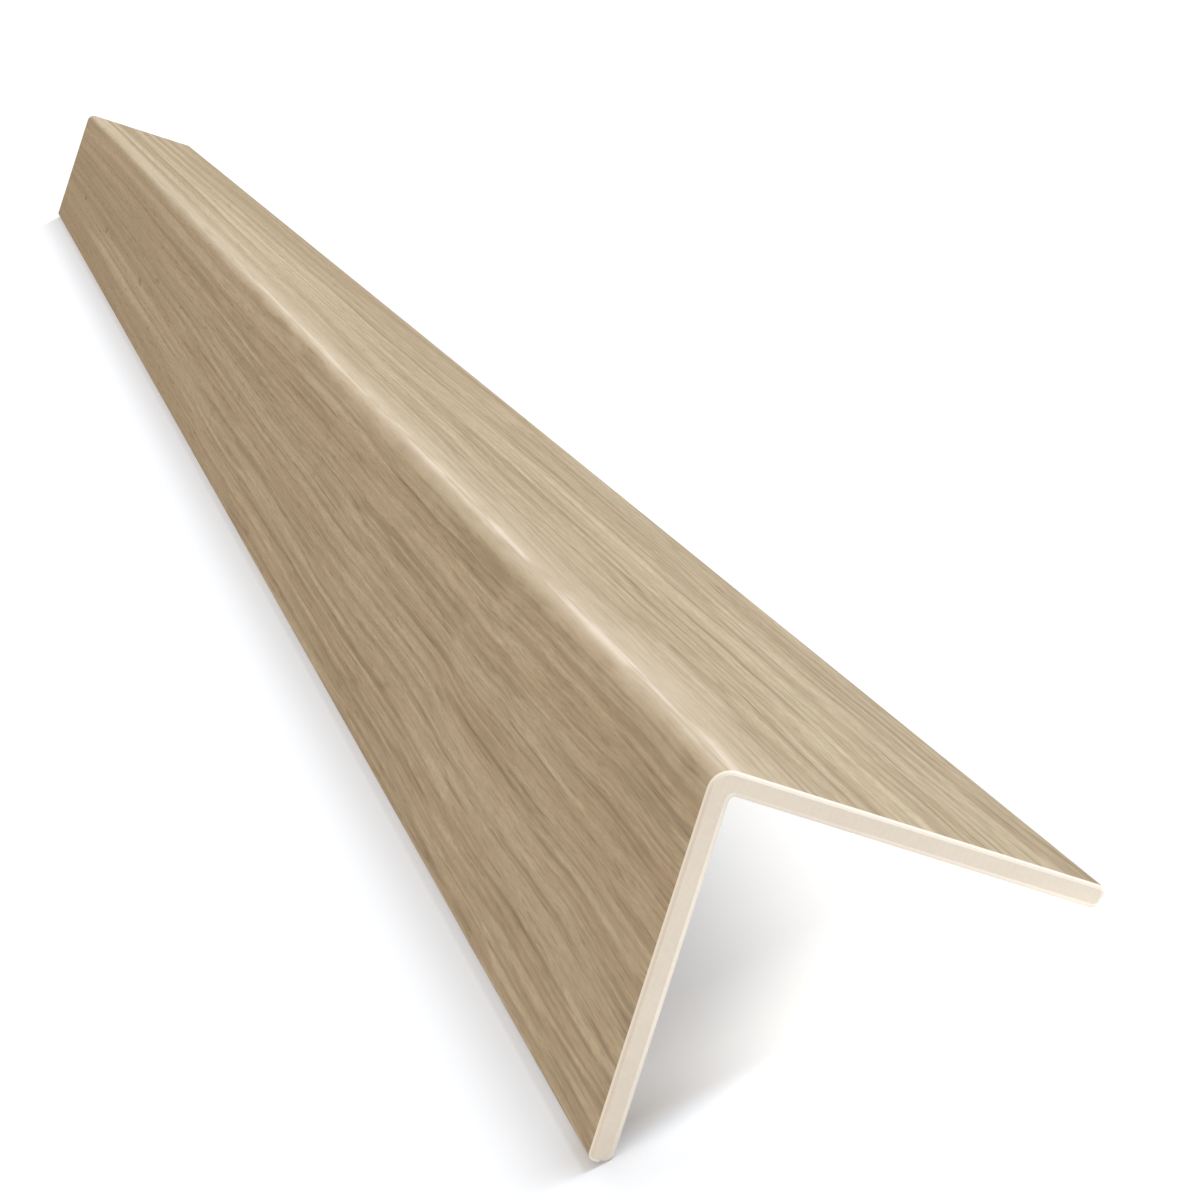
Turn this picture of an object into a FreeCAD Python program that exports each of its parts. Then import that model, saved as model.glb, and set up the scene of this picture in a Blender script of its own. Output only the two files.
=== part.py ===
"""Corner guard moulding: an extruded angle with a wood-print film on its two outer faces.

The profile is shown as it lies on a floor: on the back edges of both arms, with the corner up.
X runs along the length, Z is up, and the origin is on the floor under the middle of the profile.
The section is the same on both sides of the XZ plane, so every arm is made once for each side.
"""

import FreeCAD, Part

import math
import os

# Driving dimensions, in millimetres and degrees
length = 2900.0
arm_width = 50.0
wall = 3.0
film = 0.25
film_wrap = 1.5
included_angle = 90.0
corner_radius = 3.0
inner_corner_radius = 0.8
tip_front_radius = 0.8
tip_back_radius = 1.2
end_bevel = 0.55

# Half of the angle between the arms is also each arm's slope away from the vertical
half_angle = math.radians(included_angle / 2)
sine = math.sin(half_angle)
cosine = math.cos(half_angle)

# The film lies on the core's front and round its tips, so the core's arms are shorter by one film
core_arm = arm_width - film

# The lowest point is on the round back edge of the core's tip, so this puts it on the floor
corner_height = core_arm * cosine + wall * sine - tip_back_radius * (cosine + sine - 1)


def on_arm(side, along, depth):
    """A point of the section: so far down the arm from the sharp corner, so deep under its face.

    side is 1 for the arm on the +Y side and -1 for the other. Down the arm is the direction
    (sine, -cosine) in Y and Z, and into the wall is the direction (-cosine, -sine).
    """
    y = side * (along * sine - depth * cosine)
    z = corner_height - along * cosine - depth * sine
    return FreeCAD.Vector(-length / 2, y, z)


def under_corner(depth):
    """The point where both arms' surfaces at this depth meet, on the section's middle line."""
    return FreeCAD.Vector(-length / 2, 0, corner_height - depth / sine)


def angle_bar(reach, front, back):
    """A sharp-edged angle: its arms reach so far, and lie between these two depths."""
    outline = [
        under_corner(front),
        on_arm(1, reach, front),
        on_arm(1, reach, back),
        under_corner(back),
        on_arm(-1, reach, back),
        on_arm(-1, reach, front),
    ]
    section = Part.Face(Part.makePolygon(outline + outline[:1]))
    return section.extrude(FreeCAD.Vector(length, 0, 0))


def rounded(bar, corners, radius):
    """The bar with its long edges through these points of the section rounded."""
    found = []
    for edge in bar.Edges:
        middle = edge.CenterOfMass
        for corner in corners:
            if math.hypot(middle.y - corner.y, middle.z - corner.z) < wall / 1000:
                found.append(edge)
    return bar.makeFillet(radius, found)


def rounded_angle(reach, front):
    """The angle from this depth to the back of the wall, with every long edge rounded.

    The front roundings are concentric with those of the finished outside, at any depth.
    """
    bar = angle_bar(reach, front, wall)
    front_tips = [on_arm(1, reach, front), on_arm(-1, reach, front)]
    back_tips = [on_arm(1, reach, wall), on_arm(-1, reach, wall)]
    bar = rounded(bar, [under_corner(front)], corner_radius - front)
    bar = rounded(bar, [under_corner(wall)], inner_corner_radius)
    bar = rounded(bar, front_tips, tip_front_radius - front)
    return rounded(bar, back_tips, tip_back_radius)


def eased_ends(bar):
    """The saw leaves square ends, and their edges are eased all round by a small bevel."""
    rims = []
    for face in bar.Faces:
        if abs(abs(face.CenterOfMass.x) - length / 2) < end_bevel / 1000:
            rims.extend(face.Edges)
    return bar.makeChamfer(end_bevel, rims)


def single_solid(shape):
    """The one solid of a boolean result."""
    if len(shape.Solids) != 1:
        raise ValueError(f"expected one solid and got {len(shape.Solids)}")
    return shape.Solids[0]


outside = eased_ends(rounded_angle(arm_width, 0))
core = rounded_angle(core_arm, film)

# The film goes round each tip and stops on its side, before the back edge starts to turn
past_the_wrap = angle_bar(arm_width + wall, film_wrap, 2 * wall)

pieces = {
    "core_profile": single_solid(core.common(outside)),
    "decor_film": single_solid(outside.cut(core).cut(past_the_wrap)),
}

os.makedirs("parts", exist_ok=True)
for name, piece in pieces.items():
    piece.exportStep(f"parts/{name}.step")
    box = piece.optimalBoundingBox(True, False)
    print(
        name,
        "valid" if piece.isValid() else "not valid",
        f"volume {piece.Volume:.0f} mm3,",
        f"x {box.XMin:.2f} to {box.XMax:.2f}, y {box.YMin:.2f} to {box.YMax:.2f},",
        f"z {box.ZMin:.2f} to {box.ZMax:.2f}",
    )
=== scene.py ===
# %% [markdown]
# # A corner guard moulding, finished in cells
#
# The object is one length of stock: a pale plastic angle with a wood-print film on its two outer
# faces. It lies on the floor on both tips, with its rounded corner up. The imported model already
# holds the two pieces at their real size, so this file only gives them finer surfaces and a
# finish, and then sets the floor, the light and the camera. All lengths are in metres.

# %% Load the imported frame
import math

import bpy
import numpy as np
from mathutils import Matrix, Vector


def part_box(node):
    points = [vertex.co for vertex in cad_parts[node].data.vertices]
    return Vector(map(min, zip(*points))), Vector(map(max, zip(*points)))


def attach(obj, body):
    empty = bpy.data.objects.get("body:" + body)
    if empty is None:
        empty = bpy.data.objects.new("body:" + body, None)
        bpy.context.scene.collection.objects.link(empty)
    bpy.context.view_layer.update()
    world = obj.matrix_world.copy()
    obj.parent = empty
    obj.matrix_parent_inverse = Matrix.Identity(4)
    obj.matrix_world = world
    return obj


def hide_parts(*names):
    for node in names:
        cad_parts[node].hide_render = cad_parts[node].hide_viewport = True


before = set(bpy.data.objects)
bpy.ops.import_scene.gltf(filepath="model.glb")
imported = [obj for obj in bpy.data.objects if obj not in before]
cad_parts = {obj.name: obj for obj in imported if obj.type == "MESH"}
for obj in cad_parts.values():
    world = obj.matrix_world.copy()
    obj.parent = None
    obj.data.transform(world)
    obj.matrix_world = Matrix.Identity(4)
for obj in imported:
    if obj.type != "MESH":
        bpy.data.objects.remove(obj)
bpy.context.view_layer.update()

_, core_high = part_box("core_profile")
_, film_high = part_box("decor_film")

# %% [markdown]
# ## The sizes of the section
#
# The length and the height come from the frame. The wall, the film and the roundings can't be
# read from a box, so they are named here once, and everything below is worked out from them. Only
# the length was given. The arms and the wall are estimates, and the small radii are guesses.
# The two arms stand at 45 degrees, so one number serves as both their sine and their cosine.

# %% Name the sizes
half_length = core_high.x
arm_width = 0.050
wall = 0.003
film = 0.00025
film_wrap = 0.0015
corner_radius = 0.003
inner_corner_radius = 0.0008
tip_front_radius = 0.0008
tip_back_radius = 0.0012
end_bevel = 0.00055
slope = math.sqrt(0.5)

# The back edge of the core's tip rests on the floor, and the sharp corner lies this far above it
corner_height = (arm_width - film + wall) * slope - tip_back_radius * (2 * slope - 1)
print("sharp corner at", round(corner_height, 6),
      "top of the ridge in the frame", round(film_high.z, 6))

# %% [markdown]
# ## The section as two matched paths
#
# A moulding is a section pushed through a die, so its surface is a path carried along a line.
# The outline could be typed in as points, but then a radius could never be changed. Here each
# side of the wall is a path from the left tip over the corner to the right tip, with an arc at
# each turn. Both sides have the same number of points, so a strip of quads between them closes
# the cut ends without one large polygon. The flats have points too, crowded towards the arcs,
# which keeps the smooth shading of an arc from leaking into the flat beside it.

# %% Work out one side of the wall
ARC_STEPS = 12
FLAT_STEPS = 12


def turn(centre_along, centre_depth, radius, start, stop):
    """Points of an arc in an arm's own plane: centre plus radius times (sine, -cosine) of the angle.

    The first number is how far down the arm a point lies, and the second how deep under its face.
    The angle is 0 on the front face and 90 degrees on the tip's side.
    """
    angle = np.radians(np.linspace(start, stop, ARC_STEPS + 1))
    return np.stack([centre_along + radius * np.sin(angle), centre_depth - radius * np.cos(angle)], 1)


def in_section(points):
    """Places on the right arm in Y and Z: down the arm is (slope, -slope), inwards (-slope, -slope)."""
    along, depth = points.T
    return np.stack([(along - depth) * slope, corner_height - (along + depth) * slope], 1)


def corner_turn(depth, radius):
    """The arc over the ridge. Both arms touch it, so its centre is on the middle line.

    A surface at this depth has its sharp corner at (depth, depth), and the arc's centre is one
    radius further from both surfaces. The angle runs 45 degrees to each side of straight up.
    """
    centre = corner_height - (depth + radius) / slope
    angle = np.radians(np.linspace(-45, 45, 2 * ARC_STEPS + 1))
    return np.stack([radius * np.sin(angle), centre + radius * np.cos(angle)], 1)


def flat_between(start, stop):
    """Points inside a straight run: the share of the way is (1 - cos(t)) / 2, for t from 0 to 180."""
    share = (1 - np.cos(np.linspace(0, np.pi, FLAT_STEPS + 1)[1:-1])) / 2
    return start + (stop - start) * share[:, None]


def path_over(tip, depth, ridge_radius):
    """Left tip, flat, ridge, flat, right tip. The left side is the right one mirrored at y = 0."""
    ridge = corner_turn(depth, ridge_radius)
    right = in_section(tip)
    half = np.concatenate([flat_between(ridge[-1], right[0]), right])
    return np.concatenate([half[::-1] * (-1, 1), ridge, half])


def front_path(reach, depth, low):
    """The front of the wall at this depth, round the tip's front edge and down its side to low."""
    radius = tip_front_radius - depth
    arc = turn(reach - radius, depth + radius, radius, 0, 90)
    return path_over(np.concatenate([arc, [[reach, low]]]), depth, corner_radius - depth)


def back_path(reach, depth, edge_radius):
    """The back of the wall, with the small inner corner, round the tip's back edge and up its side.

    It stops short of the front path, halfway between the end of its arc and the film's edge.
    """
    arc = turn(reach - edge_radius, depth - edge_radius, edge_radius, 180, 90)
    tip = np.concatenate([arc, [[reach, (depth - edge_radius + film_wrap) / 2]]])
    return path_over(tip, depth, inner_corner_radius + wall - depth)


print("points on one side of the wall", len(front_path(arm_width, 0, film_wrap)))

# %% [markdown]
# ## Carrying the section along the length
#
# Both pieces are closed bars: the front path and the back path make a ring, the ring is repeated
# at a row of stations, and a strip closes each end. The saw's small bevel is made by giving the
# last ring of points a smaller section, so it needs no modifier. The whole bar is one array of
# shape (stations, points, 3), and its faces are index arithmetic on that array.

# %% Make a closed bar from rings of points
STATION_GAP = 0.025
SHARP_FROM = math.radians(30)
CM3_IN_M3 = 1e6


def stations(reach):
    """Evenly spaced places along X from -reach to reach, about one station gap apart."""
    return np.linspace(-reach, reach, int(2 * reach / STATION_GAP) + 1)


def bar_mesh(name, rings):
    """A mesh from rings (stations, points, 3), whose first half of points is the front path.

    Face (i, j) joins points j and j + 1 of rings i and i + 1, and the index of a point is
    i times the ring's size plus j. The end strips join front point j to back point j, which
    lies at the ring's far side, because the back path is stored in reverse.
    """
    count, size = rings.shape[:2]
    i, j = np.meshgrid(np.arange(count - 1), np.arange(size), indexing="ij")
    after = (j + 1) % size
    side = np.stack([i * size + j, (i + 1) * size + j, (i + 1) * size + after, i * size + after], -1)
    front = np.arange(size // 2 - 1)
    strip = np.stack([front, front + 1, size - 2 - front, size - 1 - front], -1)
    last = strip[:, ::-1] + (count - 1) * size
    faces = np.concatenate([side.reshape(-1, 4), strip, last])
    mesh = bpy.data.meshes.new(name)
    mesh.from_pydata(rings.reshape(-1, 3), [], faces.tolist())
    mesh.shade_smooth()
    mesh.set_sharp_from_angle(angle=SHARP_FROM)
    mesh.validate()
    return mesh


def rings_of(front, back, front_x, back_x):
    """Rings of points: each path repeated at its own X stations, the back one in reverse."""
    both = np.concatenate([front, back[..., ::-1, :]], axis=-2)
    x = np.concatenate([np.repeat(front_x[:, None], front.shape[-2], 1),
                        np.repeat(back_x[:, None], back.shape[-2], 1)], 1)
    both = np.broadcast_to(both, (len(front_x), *both.shape[-2:]))
    return np.concatenate([x[..., None], both], -1)


def volume_of(mesh):
    """Signed volume in cubic centimetres: a sixth of each triangle's triple product, added up."""
    mesh.calc_loop_triangles()
    corners = np.empty(len(mesh.loop_triangles) * 3, int)
    mesh.loop_triangles.foreach_get("vertices", corners)
    points = np.empty(len(mesh.vertices) * 3)
    mesh.vertices.foreach_get("co", points)
    a, b, c = points.reshape(-1, 3)[corners.reshape(-1, 3)].transpose(1, 0, 2)
    return np.einsum("ij,ij->i", a, np.cross(b, c)).sum() / 6 * CM3_IN_M3


def add_piece(name, mesh, node):
    """The object for a mesh, riding on the body and standing for its node."""
    piece = bpy.data.objects.new(name, mesh)
    bpy.context.scene.collection.objects.link(piece)
    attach(piece, "root")
    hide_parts(node)
    volume = round(volume_of(mesh), 1)
    print(name, len(mesh.vertices), "points", len(mesh.polygons), "faces", volume, "cm3")
    return piece


# %% [markdown]
# ## The film
#
# The film is a printed foil, as it is rolled hot onto profiles of this kind. How far it goes round
# the tips is a guess. Its upper side and its underside are the same path at two depths. At the saw
# cut its end lies in the bevel, so the underside reaches further than the print by the film's own
# thickness.

# %% Make the film
film_outside = front_path(arm_width, 0, film_wrap)
film_underside = front_path(arm_width - film, film, film_wrap)
film_rings = rings_of(film_outside, film_underside,
                      stations(half_length - end_bevel), stations(half_length - end_bevel + film))
film_piece = add_piece("wood_film", bar_mesh("wood_film", film_rings), "decor_film")

# %% [markdown]
# ## The core
#
# The core is what the cut end shows: a solid cream wall of even thickness. Its front lies one
# film under the outside. At each end the bevel takes the rim in, by less on the front, where the
# film has already taken its share.

# %% Make the core
core_front = front_path(arm_width - film, film, film_wrap)
core_back = back_path(arm_width - film, wall, tip_back_radius)
rim_front = front_path(arm_width - end_bevel, end_bevel, film_wrap)
rim_back = back_path(arm_width - end_bevel, wall - end_bevel, tip_back_radius - end_bevel)

front_x = stations(half_length - end_bevel + film)
back_x = stations(half_length - end_bevel)
back_x = np.interp(np.arange(len(front_x)), [0, len(front_x) - 1], [back_x[0], back_x[-1]])
body_rings = rings_of(core_front, core_back, front_x, back_x)
both_ends = np.array([-half_length, half_length])
rim_rings = rings_of(rim_front, rim_back, both_ends, both_ends)
core_rings = np.concatenate([rim_rings[:1], body_rings, rim_rings[1:]])
core_piece = add_piece("cream_core", bar_mesh("cream_core", core_rings), "core_profile")

# %% [markdown]
# ## Building materials from nodes
#
# Every colour here comes from noise that is read in Object coordinates, so it stays on the piece
# and needs no unwrapping. One small helper makes a node, sets its properties and fills or links
# its inputs, a few more do the arithmetic on masks, and the last opens a group with named sockets.

# %% Make the node helpers


def put(tree, kind, feeds=(), **settings):
    """A new node. Settings are its properties, and feeds gives an input a socket or a value."""
    made = tree.nodes.new(kind)
    for name, value in settings.items():
        setattr(made, name, value)
    for key, value in dict(feeds).items():
        if isinstance(value, bpy.types.NodeSocket):
            tree.links.new(value, made.inputs[key])
        else:
            made.inputs[key].default_value = value
    return made


def calculate(tree, operation, *values):
    """The result of one Math node."""
    return put(tree, "ShaderNodeMath", dict(enumerate(values)), operation=operation).outputs[0]


def times(tree, first, *others):
    """The product of any number of values."""
    for other in others:
        first = calculate(tree, "MULTIPLY", first, other)
    return first


def plus(tree, first, *others):
    """The sum of any number of values."""
    for other in others:
        first = calculate(tree, "ADD", first, other)
    return first


def opposite(tree, mask):
    """1 where the mask is 0, and 0 where it is 1."""
    return calculate(tree, "SUBTRACT", 1.0, mask)


def away_from(tree, value, place):
    """How far a value lies from a place, on either side of it."""
    return calculate(tree, "ABSOLUTE", calculate(tree, "SUBTRACT", value, place))


def fade(tree, value, low, high):
    """0 up to low and 1 from high on, with a smooth way between."""
    feeds = {"Value": value, "From Min": low, "From Max": high}
    return put(tree, "ShaderNodeMapRange", feeds, interpolation_type="SMOOTHSTEP").outputs["Result"]


def blend_colour(tree, share, a, b):
    """Colour a where share is 0 and colour b where it is 1."""
    return put(tree, "ShaderNodeMix", {0: share, 6: a, 7: b}, data_type="RGBA").outputs[2]


def open_group(name, inputs, outputs):
    """An empty node group with named inputs, each with a default, and named outputs."""
    tree = bpy.data.node_groups.new(name, "ShaderNodeTree")
    for socket, kind, default in inputs:
        made = tree.interface.new_socket(name=socket, in_out="INPUT", socket_type="NodeSocket" + kind)
        if default is not None:
            made.default_value = default
    for socket, kind in outputs:
        tree.interface.new_socket(name=socket, in_out="OUTPUT", socket_type="NodeSocket" + kind)
    return tree, tree.nodes.new("NodeGroupInput").outputs, tree.nodes.new("NodeGroupOutput").inputs


# %% [markdown]
# ## Long grain
#
# Oak fibres, growth rings, pores and the faint lines that a die leaves in plastic are one effect
# at different sizes: noise drawn out along the length. The group scales the place by how many
# features there are in a metre, along and across, and cuts a mask out of the noise. The film and
# the core both use it, each with its own numbers.

# %% Build the long grain group


def long_grain_group():
    """Mask = the share of noise((x * Along, y * Across, z * Across) + Seed) between Low and High."""
    tree, given, result = open_group("long_grain", [
        ("Place", "Vector", None), ("Along", "Float", 5.0), ("Across", "Float", 500.0),
        ("Seed", "Float", 0.0), ("Detail", "Float", 2.0), ("Low", "Float", 0.4), ("High", "Float", 0.6),
    ], [("Mask", "Float")])
    across = given["Across"]
    scale = put(tree, "ShaderNodeCombineXYZ", {0: given["Along"], 1: across, 2: across}).outputs[0]
    drawn = put(tree, "ShaderNodeVectorMath", {0: given["Place"], 1: scale}, operation="MULTIPLY")
    moved = put(tree, "ShaderNodeVectorMath", {0: drawn.outputs[0], 1: given["Seed"]}, operation="ADD")
    noise = put(tree, "ShaderNodeTexNoise", {"Vector": moved.outputs[0], "Scale": 1.0,
                                             "Detail": given["Detail"], "Roughness": 0.55})
    mask = fade(tree, noise.outputs[0], given["Low"], given["High"])
    tree.links.new(mask, result["Mask"])
    return tree


long_grain = long_grain_group()


def grain_mask(tree, place, along, across, seed, low, high, detail=2.0):
    """The mask of one use of the group: along and across are how many features there are in a metre."""
    feeds = {"Place": place, "Along": along, "Across": across, "Seed": seed,
             "Detail": detail, "Low": low, "High": high}
    return put(tree, "ShaderNodeGroup", feeds, node_tree=long_grain).outputs["Mask"]


# %% [markdown]
# ## Painted edge highlights
#
# Where a surface turns, a highlight is painted into its colour as a pale stripe. A fixed stripe would
# look too even, so the group moves the stripe's border with noise and thins it in places.

# %% Build the painted edge highlight group


def edge_highlight_group():
    """Mask = Strength * thinning * (1 - Distance / (Width * uneven)), faded at both of its ends.

    The noise along the edge, times Uneven, sets both how wide the stripe is and how thin it gets.
    """
    tree, given, result = open_group("painted_edge_highlight", [
        ("Place", "Vector", None), ("Distance", "Float", 0.0), ("Width", "Float", 0.002),
        ("Uneven", "Float", 0.5), ("Strength", "Float", 1.0),
    ], [("Mask", "Float")])
    stretched = put(tree, "ShaderNodeVectorMath", {0: given["Place"], 1: (9.0, 260.0, 260.0)},
                    operation="MULTIPLY").outputs[0]
    noise = put(tree, "ShaderNodeTexNoise", {"Vector": stretched, "Scale": 1.0, "Detail": 3.0})
    waves = noise.outputs[0]
    swing = times(tree, calculate(tree, "SUBTRACT", waves, 0.5), given["Uneven"])
    reach = times(tree, given["Width"], plus(tree, 1.0, times(tree, swing, 3.0)))
    inside = opposite(tree, calculate(tree, "DIVIDE", given["Distance"], reach))
    mask = times(tree, fade(tree, inside, 0.0, 1.0), plus(tree, 0.75, swing), given["Strength"])
    tree.links.new(calculate(tree, "MAXIMUM", mask, 0.0), result["Mask"])
    return tree


painted_edge_highlight = edge_highlight_group()


def painted_highlight_mask(tree, place, distance, width, uneven, strength):
    """The mask of one use of the group. The distance from the edge and the width are in metres."""
    feeds = {"Place": place, "Distance": distance, "Width": width, "Uneven": uneven,
             "Strength": strength}
    return put(tree, "ShaderNodeGroup", feeds, node_tree=painted_edge_highlight).outputs["Mask"]


# %% [markdown]
# ## The wood print
#
# A light oak decor is built up as a printer builds it: a beige ground in broad light and dark
# bands, warm patches, growth lines that run on for a metre, finer lines, darker and lighter
# streaks, a soft mottle, flecks, and pores that are also pressed into the film. All of them bend
# a little together, because the place that they read is first moved sideways by slow noise. Long
# features are what makes it look like stock and not like a block of wood: on 2.9 m of length, a
# line is a thousand times its width.
#
# The camera stands at one end, so the same figure would be far too long near it and only speckle at the
# other. The place's x is therefore stretched more and more towards the near end, and the fine layers
# give way to broad ones and a few pin knots towards the far end. Towards the far end both faces are also
# painted lighter, the right one much more, with weaker lines there: this is painted light. A real print
# would be alike from end to end, so all of this is done for the picture.

# %% Make the film's material
NEARER_BETWEEN = (-1.3, 1.5)
LIVELIER = 0.8
RIGHT_FROM = 0.01
PAINTED_SHADE_EDGE = (0.02, 0.036)
GLOW_AT, STRIPE_AT, CREST_AT = 0.0030, 0.0010, 0.0016
GLOW_WIDTH, STRIPE_WIDTH, CREST_WIDTH = 0.0085, 0.0036, 0.0013
FOIL_FADE = (-0.00012, 0.00002)
EMBOSS_DEPTH = 0.00003


def colour(red, green, blue):
    """A colour given as it looks on screen, from 0 to 255, as a shader's linear numbers."""
    screen = np.array([red, green, blue]) / 255
    linear = np.where(screen > 0.04045, ((screen + 0.055) / 1.055) ** 2.4, screen / 12.92)
    return (*linear.tolist(), 1.0)


def new_material(name):
    """An empty material with its Principled shader, and the place on the object."""
    material = bpy.data.materials.new(name)
    material.use_nodes = True
    tree = material.node_tree
    tree.nodes.clear()
    shader = put(tree, "ShaderNodeBsdfPrincipled")
    put(tree, "ShaderNodeOutputMaterial", {"Surface": shader.outputs[0]})
    place = put(tree, "ShaderNodeTexCoord").outputs["Object"]
    return material, tree, shader, place


def bent_place(tree, place, stretch, reach):
    """The place moved sideways by reach * (noise - 0.5), where noise is read at the place * stretch."""
    drawn = put(tree, "ShaderNodeVectorMath", {0: place, 1: stretch}, operation="MULTIPLY")
    noise = put(tree, "ShaderNodeTexNoise", {"Vector": drawn.outputs[0], "Scale": 1.0, "Detail": 2.0})
    half = (0.5, 0.5, 0.5)
    swing = put(tree, "ShaderNodeVectorMath", {0: noise.outputs["Color"], 1: half}, operation="SUBTRACT")
    sideways = (0.0, reach, reach)
    move = put(tree, "ShaderNodeVectorMath", {0: swing.outputs[0], 1: sideways}, operation="MULTIPLY")
    return put(tree, "ShaderNodeVectorMath", {0: place, 1: move.outputs[0]}, operation="ADD").outputs[0]


def livelier_place(tree, place, growth):
    """The place with x swapped for e to the power (growth * x) / growth, so figure is shorter at +X."""
    parts = put(tree, "ShaderNodeSeparateXYZ", {0: place}).outputs
    power = calculate(tree, "EXPONENT", times(tree, parts["X"], growth))
    along = calculate(tree, "DIVIDE", power, growth)
    return put(tree, "ShaderNodeCombineXYZ", {0: along, 1: parts["Y"], 2: parts["Z"]}).outputs[0]


def overlay(tree, under, mask, strength, tone):
    """The tone laid over a colour, where and as far as the mask times its strength says."""
    return blend_colour(tree, times(tree, mask, strength), under, tone)


def film_material():
    """Layers of long grain from broad to fine, a painted highlight along the ridge, and the bare foil at
    the cuts with a painted highlight.
    """
    material, tree, shader, place = new_material("light oak print")
    parts = put(tree, "ShaderNodeSeparateXYZ", {0: place}).outputs
    nearer = fade(tree, parts["X"], *NEARER_BETWEEN)
    farther = opposite(tree, nearer)
    on_right = fade(tree, parts["Y"], -RIGHT_FROM, RIGHT_FROM)
    fineness = plus(tree, 0.3, times(tree, 0.7, nearer))
    figure = livelier_place(tree, place, LIVELIER)
    bent = bent_place(tree, figure, (0.8, 20.0, 20.0), 0.007)
    bent = bent_place(tree, bent, (3.5, 50.0, 50.0), 0.0016)
    sides = put(tree, "ShaderNodeSeparateXYZ", {0: bent}).outputs
    even = put(tree, "ShaderNodeCombineXYZ", {0: parts["X"], 1: sides["Y"], 2: sides["Z"]}).outputs[0]

    bands = grain_mask(tree, bent, 0.7, 110.0, 3.1, 0.36, 0.64)
    broad = grain_mask(tree, bent, 0.5, 230.0, 19.7, 0.4, 0.6, 1.0)
    patches = grain_mask(tree, bent, 1.3, 110.0, 41.3, 0.42, 0.66)
    lines = grain_mask(tree, bent, 0.5, 480.0, 11.7, 0.38, 0.62)
    fine_lines = grain_mask(tree, bent, 1.1, 1200.0, 23.9, 0.3, 0.7, 1.0)
    streaks = grain_mask(tree, bent, 1.3, 850.0, 37.3, 0.5, 0.7, 1.0)
    light_streaks = grain_mask(tree, bent, 1.1, 640.0, 51.1, 0.5, 0.74, 1.0)
    mottle = grain_mask(tree, bent, 18.0, 800.0, 71.9, 0.34, 0.66, 1.0)
    flecks = grain_mask(tree, even, 140.0, 4300.0, 29.3, 0.46, 0.66, 1.0)
    pores = grain_mask(tree, even, 32.0, 2600.0, 67.7, 0.56, 0.7, 1.0)
    knots = grain_mask(tree, even, 24.0, 380.0, 91.3, 0.775, 0.84, 0.0)
    # Painted light: both faces lighter towards the far end, the right face much more, with its lines
    # weaker there.
    painted_light_far = times(tree, farther, plus(tree, 0.2, times(tree, on_right, 0.72)))
    weaker_in_painted_light = opposite(tree, times(tree, painted_light_far, painted_light_far, 0.35))
    broad_share = times(tree, broad, calculate(tree, "SUBTRACT", 1.3, nearer))

    # A highlight is painted along the ridge in three steps: a wide glow, a stripe, and broken strokes on
    # its crest
    spread = plus(tree, 0.5, times(tree, nearer, 0.5))
    from_glow, from_stripe, from_crest = (
        away_from(tree, parts["Y"], y) for y in (GLOW_AT, STRIPE_AT, CREST_AT))
    glow = painted_highlight_mask(tree, figure, from_glow, times(tree, spread, GLOW_WIDTH), 0.3, 0.8)
    stripe = painted_highlight_mask(tree, figure, from_stripe, times(tree, spread, STRIPE_WIDTH), 0.9, 0.9)
    crest = painted_highlight_mask(tree, figure, from_crest, CREST_WIDTH, 0.6, 1.2)
    strokes = grain_mask(tree, figure, 3.6, 900.0, 83.1, 0.42, 0.57)

    from_middle = calculate(tree, "ABSOLUTE", parts["X"])
    print_end = half_length - end_bevel
    # The bare pale foil shows where the film ends in the bevel, and its colour there is brightened
    # further as a painted highlight.
    foil_edge_with_highlight = fade(tree, from_middle, *(print_end + past for past in FOIL_FADE))

    # From the ground up, each layer has its mask, its strength and its tone as it looks on screen
    layers = [
        (painted_light_far, 1.0, (212, 196, 168)),
        (patches, 0.5, (190, 163, 137)),
        (broad_share, 0.6, (158, 138, 109)),
        (times(tree, lines, weaker_in_painted_light), 0.7, (160, 139, 109)),
        (times(tree, fine_lines, fineness), 0.55, (210, 194, 165)),
        (times(tree, light_streaks, fineness), 0.55, (216, 201, 172)),
        (times(tree, streaks, fineness), 0.56, (132, 112, 83)),
        (mottle, 0.16, (148, 128, 99)),
        (flecks, 0.22, (140, 120, 91)),
        (pores, 0.17, (118, 98, 72)),
        (times(tree, knots, farther), 0.5, (112, 92, 66)),
        # Painted shade: the right face darker towards its outer edge.
        (fade(tree, parts["Y"], *PAINTED_SHADE_EDGE), 0.2, (148, 128, 99)),
        (times(tree, nearer, on_right), 0.07, (148, 128, 99)),
        (glow, 1.0, (204, 188, 163)),
        (times(tree, stripe, fineness), 0.7, (214, 197, 176)),
        (times(tree, crest, strokes, fineness), 0.75, (242, 228, 212)),
        (foil_edge_with_highlight, 1.0, (246, 239, 226)),
    ]
    tone = blend_colour(tree, bands, colour(199, 183, 154), colour(170, 149, 120))
    for mask, strength, screen_tone in layers:
        tone = overlay(tree, tone, mask, strength, colour(*screen_tone))
    tree.links.new(tone, shader.inputs["Base Color"])

    emboss = calculate(tree, "SUBTRACT", times(tree, fine_lines, 0.4), pores)
    bump = put(tree, "ShaderNodeBump", {"Height": emboss, "Strength": 0.3, "Distance": EMBOSS_DEPTH})
    tree.links.new(bump.outputs[0], shader.inputs["Normal"])
    rough = plus(tree, 0.5, times(tree, pores, 0.15), times(tree, stripe, -0.12))
    tree.links.new(rough, shader.inputs["Roughness"])
    shader.inputs["Specular IOR Level"].default_value = 0.1
    return material


film_piece.data.materials.append(film_material())

# %% [markdown]
# ## The cream plastic
#
# The core is matte all through. The die leaves faint lines along its back and the saw leaves fine arcs
# across its ends. Each rim by a cut is a little paler, a painted highlight on the bevel. It uses the
# same two groups as the film, with other numbers.

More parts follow.
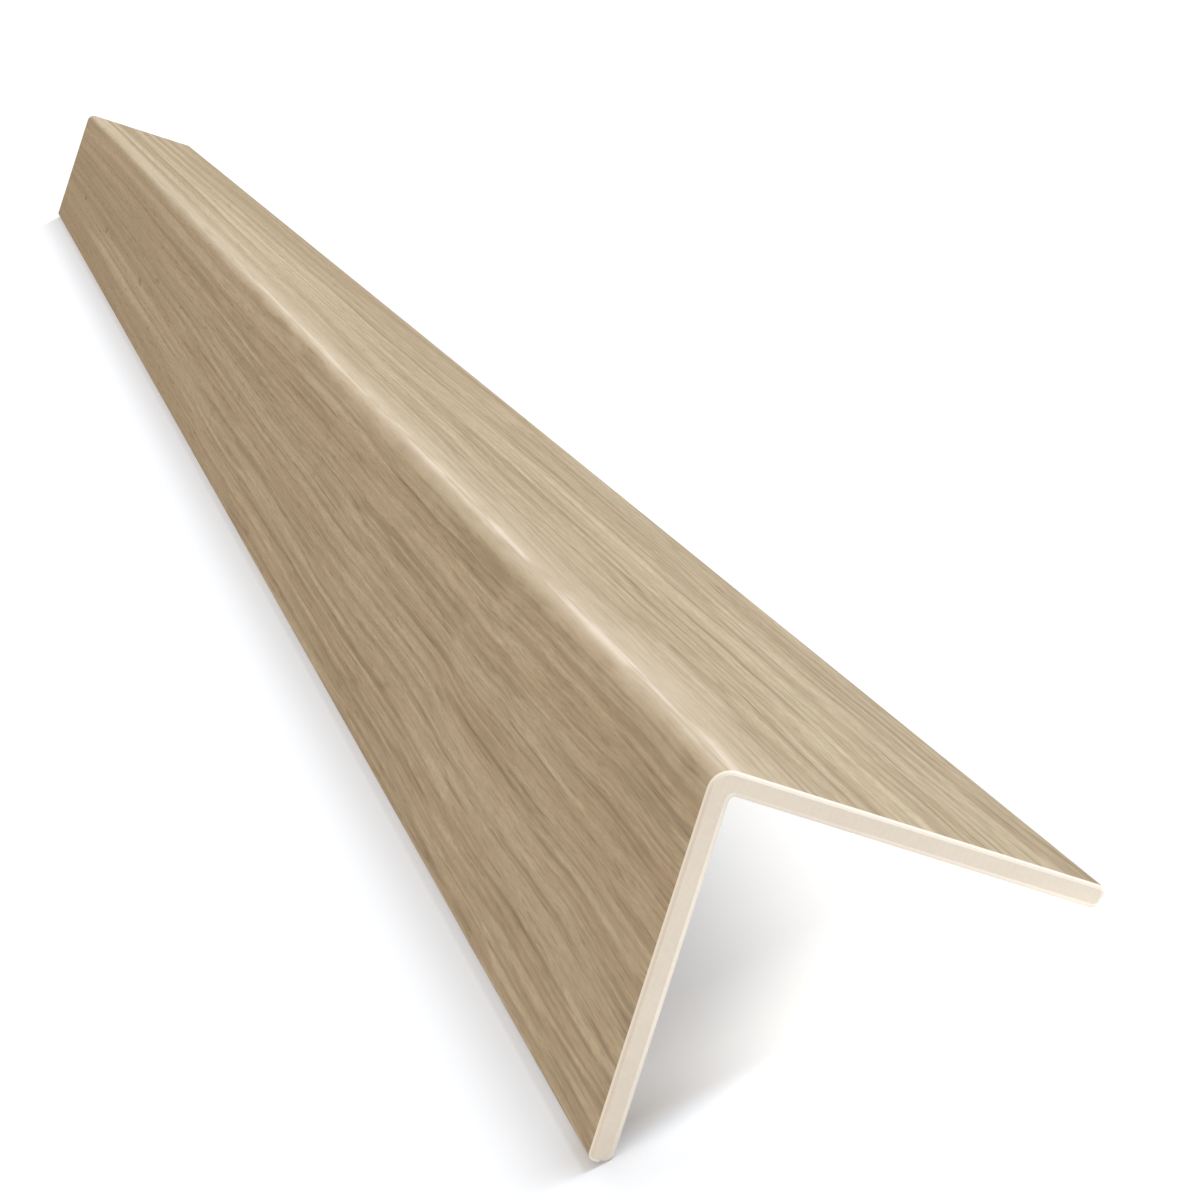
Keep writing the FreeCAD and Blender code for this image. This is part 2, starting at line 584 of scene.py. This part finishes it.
# %% Make the core's material
END_SKIN = (-0.00006, -0.00002)
RIM_WIDTH = 0.0006
BLADE_OFFSET = (0.0, 0.11, -0.16)
ARC_SCALE = 420.0
MARK_DEPTH = 0.00002


def core_material():
    """Cream with faint drawn lines, saw marks on the ends only, and a painted highlight on the rims."""
    material, tree, shader, place = new_material("cream plastic")
    lines = grain_mask(tree, place, 1.5, 1600.0, 5.3, 0.3, 0.7)
    cloud = grain_mask(tree, place, 60.0, 160.0, 17.9, 0.3, 0.7)
    tone = overlay(tree, colour(228, 218, 205), lines, 0.35, colour(218, 207, 192))
    tone = overlay(tree, tone, cloud, 0.3, colour(234, 225, 211))

    parts = put(tree, "ShaderNodeSeparateXYZ", {0: place}).outputs
    from_middle = calculate(tree, "ABSOLUTE", parts["X"])
    on_end = fade(tree, from_middle, *(half_length + past for past in END_SKIN))
    inwards = calculate(tree, "SUBTRACT", half_length, from_middle)
    # Painted highlight: paler within a rim's width of each cut, on the bevel, but not on the end face.
    rim = painted_highlight_mask(tree, place, inwards, RIM_WIDTH, 0.4, 0.6)
    tone = overlay(tree, tone, times(tree, rim, opposite(tree, on_end)), 1.0, colour(243, 236, 224))
    tree.links.new(tone, shader.inputs["Base Color"])

    blade = put(tree, "ShaderNodeMapping", {"Vector": place, "Location": BLADE_OFFSET})
    arcs = put(tree, "ShaderNodeTexWave", {"Vector": blade.outputs[0], "Scale": ARC_SCALE,
                                           "Distortion": 3.0, "Detail": 2.0},
               wave_type="RINGS", rings_direction="X")
    height = plus(tree, times(tree, arcs.outputs["Fac"], on_end), times(tree, lines, 0.5))
    bump = put(tree, "ShaderNodeBump", {"Height": height, "Strength": 0.4, "Distance": MARK_DEPTH})
    tree.links.new(bump.outputs[0], shader.inputs["Normal"])
    rough = plus(tree, 0.55, times(tree, cloud, 0.1))
    tree.links.new(rough, shader.inputs["Roughness"])
    shader.inputs["Specular IOR Level"].default_value = 0.2
    return material


core_piece.data.materials.append(core_material())

# %% [markdown]
# ## Floor and light
#
# The photograph has no visible ground, only soft grey where the profile keeps the light away. A white
# floor that also glows faintly, like a light table, keeps its shadows that pale. How much it glows
# depends on the place. It glows less along the left edge, and less again under the profile and in front
# of its left foot: these are painted shadows. It glows more inside the mouth on the right and further
# in: this is painted light. These places are set for the picture and aren't how a real floor would be
# lit. A broad sun from the upper right makes the right face the lighter one, and the world fills the
# rest with a warmer light.
# What the camera sees of the world is plain white, so the Light Path node tells it apart from what
# lights the scene.

# %% Lay the floor
FLOOR_REACH = 60.0
FLOOR_WHITE = (0.745, 0.745, 0.755, 1.0)
OPEN_TINT = (0.89, 1.0, 1.15, 1.0)
EDGE_TINT = (0.83, 1.0, 1.24, 1.0)
TUNNEL_TINT = (0.915, 1.0, 1.118, 1.0)
LIT_TINT = (0.965, 1.0, 1.035, 1.0)
FOOT_TINT = (0.88, 1.0, 1.16, 1.0)
OPEN_GLOW = 0.39
TUNNEL_GLOW = 0.22
MOUTH_GLOW = 0.5
EDGE_DIP = 0.2
FOOT_DIP = 0.17

# How far from the middle, the near end or the left foot each change of the glow starts and ends
END_FADE = 0.02
PAST_THE_TIPS = (0.0336, 0.0346)
LEFT_EDGE_FADE = (0.0355, 0.047)
TOUCHING_FADE = (0.0355, 0.0373)
FOOT_PLACE = 0.034
FOOT_FADE = (0.004, 0.062)
FOOT_ALONG, FOOT_ACROSS = (-0.06, -0.005), (-0.040, -0.032)
MOUTH_FADE = (0.0, 0.022)
LIT_FADE = (-0.004, 0.031)


def glow_by_place(tree, place):
    """How much the floor glows, and its tint, from the place on it: less glow is painted shadow, more is
    painted light.

    outwards is x - half length, so it is 0 at the near end's cut. Beside the left edge the dip fades
    out over a centimetre, and it is shallower right at the foot. Inside the mouth the lit share
    grows with y + the larger of 0.031 + 0.19 * outwards and 0.0165 + 0.02 * outwards. The dip in
    front of the left foot fades with the root of outwards squared + (1.6 * (y + 0.034)) squared.
    """
    parts = put(tree, "ShaderNodeSeparateXYZ", {0: place}).outputs
    outwards = calculate(tree, "SUBTRACT", parts["X"], half_length)
    past_the_end = calculate(tree, "SUBTRACT", calculate(tree, "ABSOLUTE", parts["X"]), half_length)
    alongside = opposite(tree, fade(tree, past_the_end, -END_FADE, END_FADE))
    outside = fade(tree, calculate(tree, "ABSOLUTE", parts["Y"]), *PAST_THE_TIPS)
    inside = opposite(tree, outside)

    leftwards = times(tree, parts["Y"], -1.0)
    left_side = times(tree, calculate(tree, "GREATER_THAN", leftwards, 0.0), alongside)
    at_left = times(tree, opposite(tree, fade(tree, leftwards, *LEFT_EDGE_FADE)), left_side)
    touching = times(tree, opposite(tree, fade(tree, leftwards, *TOUCHING_FADE)), left_side)
    softened = calculate(tree, "SUBTRACT", at_left, times(tree, touching, 0.35))
    edge_dip = times(tree, softened, outside, EDGE_DIP)
    tunnel_dip = times(tree, alongside, inside, OPEN_GLOW - TUNNEL_GLOW)

    aside = times(tree, plus(tree, parts["Y"], FOOT_PLACE), 1.6)
    squares = plus(tree, calculate(tree, "POWER", outwards, 2.0), calculate(tree, "POWER", aside, 2.0))
    at_foot = opposite(tree, fade(tree, calculate(tree, "SQRT", squares), *FOOT_FADE))
    in_front = times(tree, fade(tree, outwards, *FOOT_ALONG), fade(tree, parts["Y"], *FOOT_ACROSS))
    at_front = times(tree, at_foot, in_front)
    foot_dip = times(tree, at_front, FOOT_DIP)

    shallow = plus(tree, times(tree, outwards, 0.19), 0.031)
    deep = plus(tree, times(tree, outwards, 0.02), 0.0165)
    slant = plus(tree, parts["Y"], calculate(tree, "MAXIMUM", shallow, deep))
    before_mouth = opposite(tree, fade(tree, outwards, *MOUTH_FADE))
    lit = times(tree, fade(tree, slant, *LIT_FADE), before_mouth, inside)

    # The dips are painted shadows on the floor, and the extra glow inside the mouth is painted light.
    painted_floor_shadows = plus(tree, edge_dip, tunnel_dip, foot_dip)
    glow = plus(tree, calculate(tree, "SUBTRACT", OPEN_GLOW, painted_floor_shadows), times(tree, lit, MOUTH_GLOW))
    beside = blend_colour(tree, at_left, OPEN_TINT, EDGE_TINT)
    under = blend_colour(tree, lit, TUNNEL_TINT, LIT_TINT)
    tint = blend_colour(tree, at_front, blend_colour(tree, inside, beside, under), FOOT_TINT)
    return glow, tint


def white_floor():
    """A flat square under the part, with a diffuse white that glows a little."""
    corners = np.array([[-1, -1, 0], [1, -1, 0], [1, 1, 0], [-1, 1, 0]]) * FLOOR_REACH
    mesh = bpy.data.meshes.new("floor")
    mesh.from_pydata(corners, [], [(0, 1, 2, 3)])
    floor = bpy.data.objects.new("floor", mesh)
    bpy.context.scene.collection.objects.link(floor)
    material, tree, shader, place = new_material("white floor")
    shader.inputs["Base Color"].default_value = FLOOR_WHITE
    shader.inputs["Roughness"].default_value = 0.9
    shader.inputs["Specular IOR Level"].default_value = 0.0

    glow, tint = glow_by_place(tree, place)
    tree.links.new(glow, shader.inputs["Emission Strength"])
    tree.links.new(tint, shader.inputs["Emission Color"])
    mesh.materials.append(material)


white_floor()

# %% Set the light
FILL_STRENGTH, FILL_TINT = 0.72, (1.0, 0.87, 0.71)
KEY_STRENGTH, KEY_TINT = 1.64, (0.82, 1.0, 1.19)
KEY_WIDTH = math.radians(32)
KEY_FROM = Vector((0.25, 1.11, 1.0))


def add_lamp(name, kind, strength, tint, **settings):
    """A lamp of this kind, its strength and colour, and any other properties that it has."""
    lamp = bpy.data.lights.new(name, kind)
    lamp.energy = strength
    lamp.color = tint
    for key, value in settings.items():
        setattr(lamp, key, value)
    made = bpy.data.objects.new(name, lamp)
    bpy.context.scene.collection.objects.link(made)
    return made


def fill_world(strength, tint):
    """A warm even light from all sides, which the camera sees as plain white."""
    world = bpy.data.worlds.new("studio")
    world.use_nodes = True
    tree = world.node_tree
    tree.nodes.clear()
    seen = put(tree, "ShaderNodeLightPath").outputs["Is Camera Ray"]
    warm = put(tree, "ShaderNodeBackground", {"Color": (*tint, 1.0), "Strength": strength})
    white = put(tree, "ShaderNodeBackground", {"Color": (1.0, 1.0, 1.0, 1.0), "Strength": 1.0})
    both = put(tree, "ShaderNodeMixShader", {0: seen, 1: warm.outputs[0], 2: white.outputs[0]})
    put(tree, "ShaderNodeOutputWorld", {"Surface": both.outputs[0]})
    bpy.context.scene.world = world


fill_world(FILL_STRENGTH, FILL_TINT)
key = add_lamp("key", "SUN", KEY_STRENGTH, KEY_TINT, angle=KEY_WIDTH)
key.rotation_euler = KEY_FROM.to_track_quat("Z", "Y").to_euler()
bpy.context.scene.view_settings.view_transform = "Standard"

# %% [markdown]
# ## The camera
#
# The photograph looks down the profile from in front of its near end, a little above the ridge
# and to the left, with the camera tilted. It isn't one exact perspective, so this is the camera
# whose view of the true part comes closest: a long lens, which keeps the far end wide.

# %% Place the camera
LENS_MM = 242.4
IN_FRONT = 0.958
TO_THE_LEFT = 0.0408
ABOVE_THE_FLOOR = 0.1743
LOOKING_DOWN = math.radians(6.75)
TURNED_RIGHT = math.radians(2.245)
TILTED = math.radians(27.2)

eye = Vector((half_length + IN_FRONT, -TO_THE_LEFT, ABOVE_THE_FLOOR))
ahead = Vector((-math.cos(LOOKING_DOWN) * math.cos(TURNED_RIGHT),
                math.cos(LOOKING_DOWN) * math.sin(TURNED_RIGHT), -math.sin(LOOKING_DOWN)))
level = ahead.to_track_quat("-Z", "Y").to_matrix()
camera_data = bpy.data.cameras.new("camera")
camera_data.lens = LENS_MM
camera_data.sensor_width = 36.0
camera_data.clip_start = 0.05
camera = bpy.data.objects.new("camera", camera_data)
camera.matrix_world = Matrix.Translation(eye) @ (level @ Matrix.Rotation(-TILTED, 3, "Z")).to_4x4()
bpy.context.scene.collection.objects.link(camera)
bpy.context.scene.camera = camera
print("camera at", [round(v, 3) for v in eye])
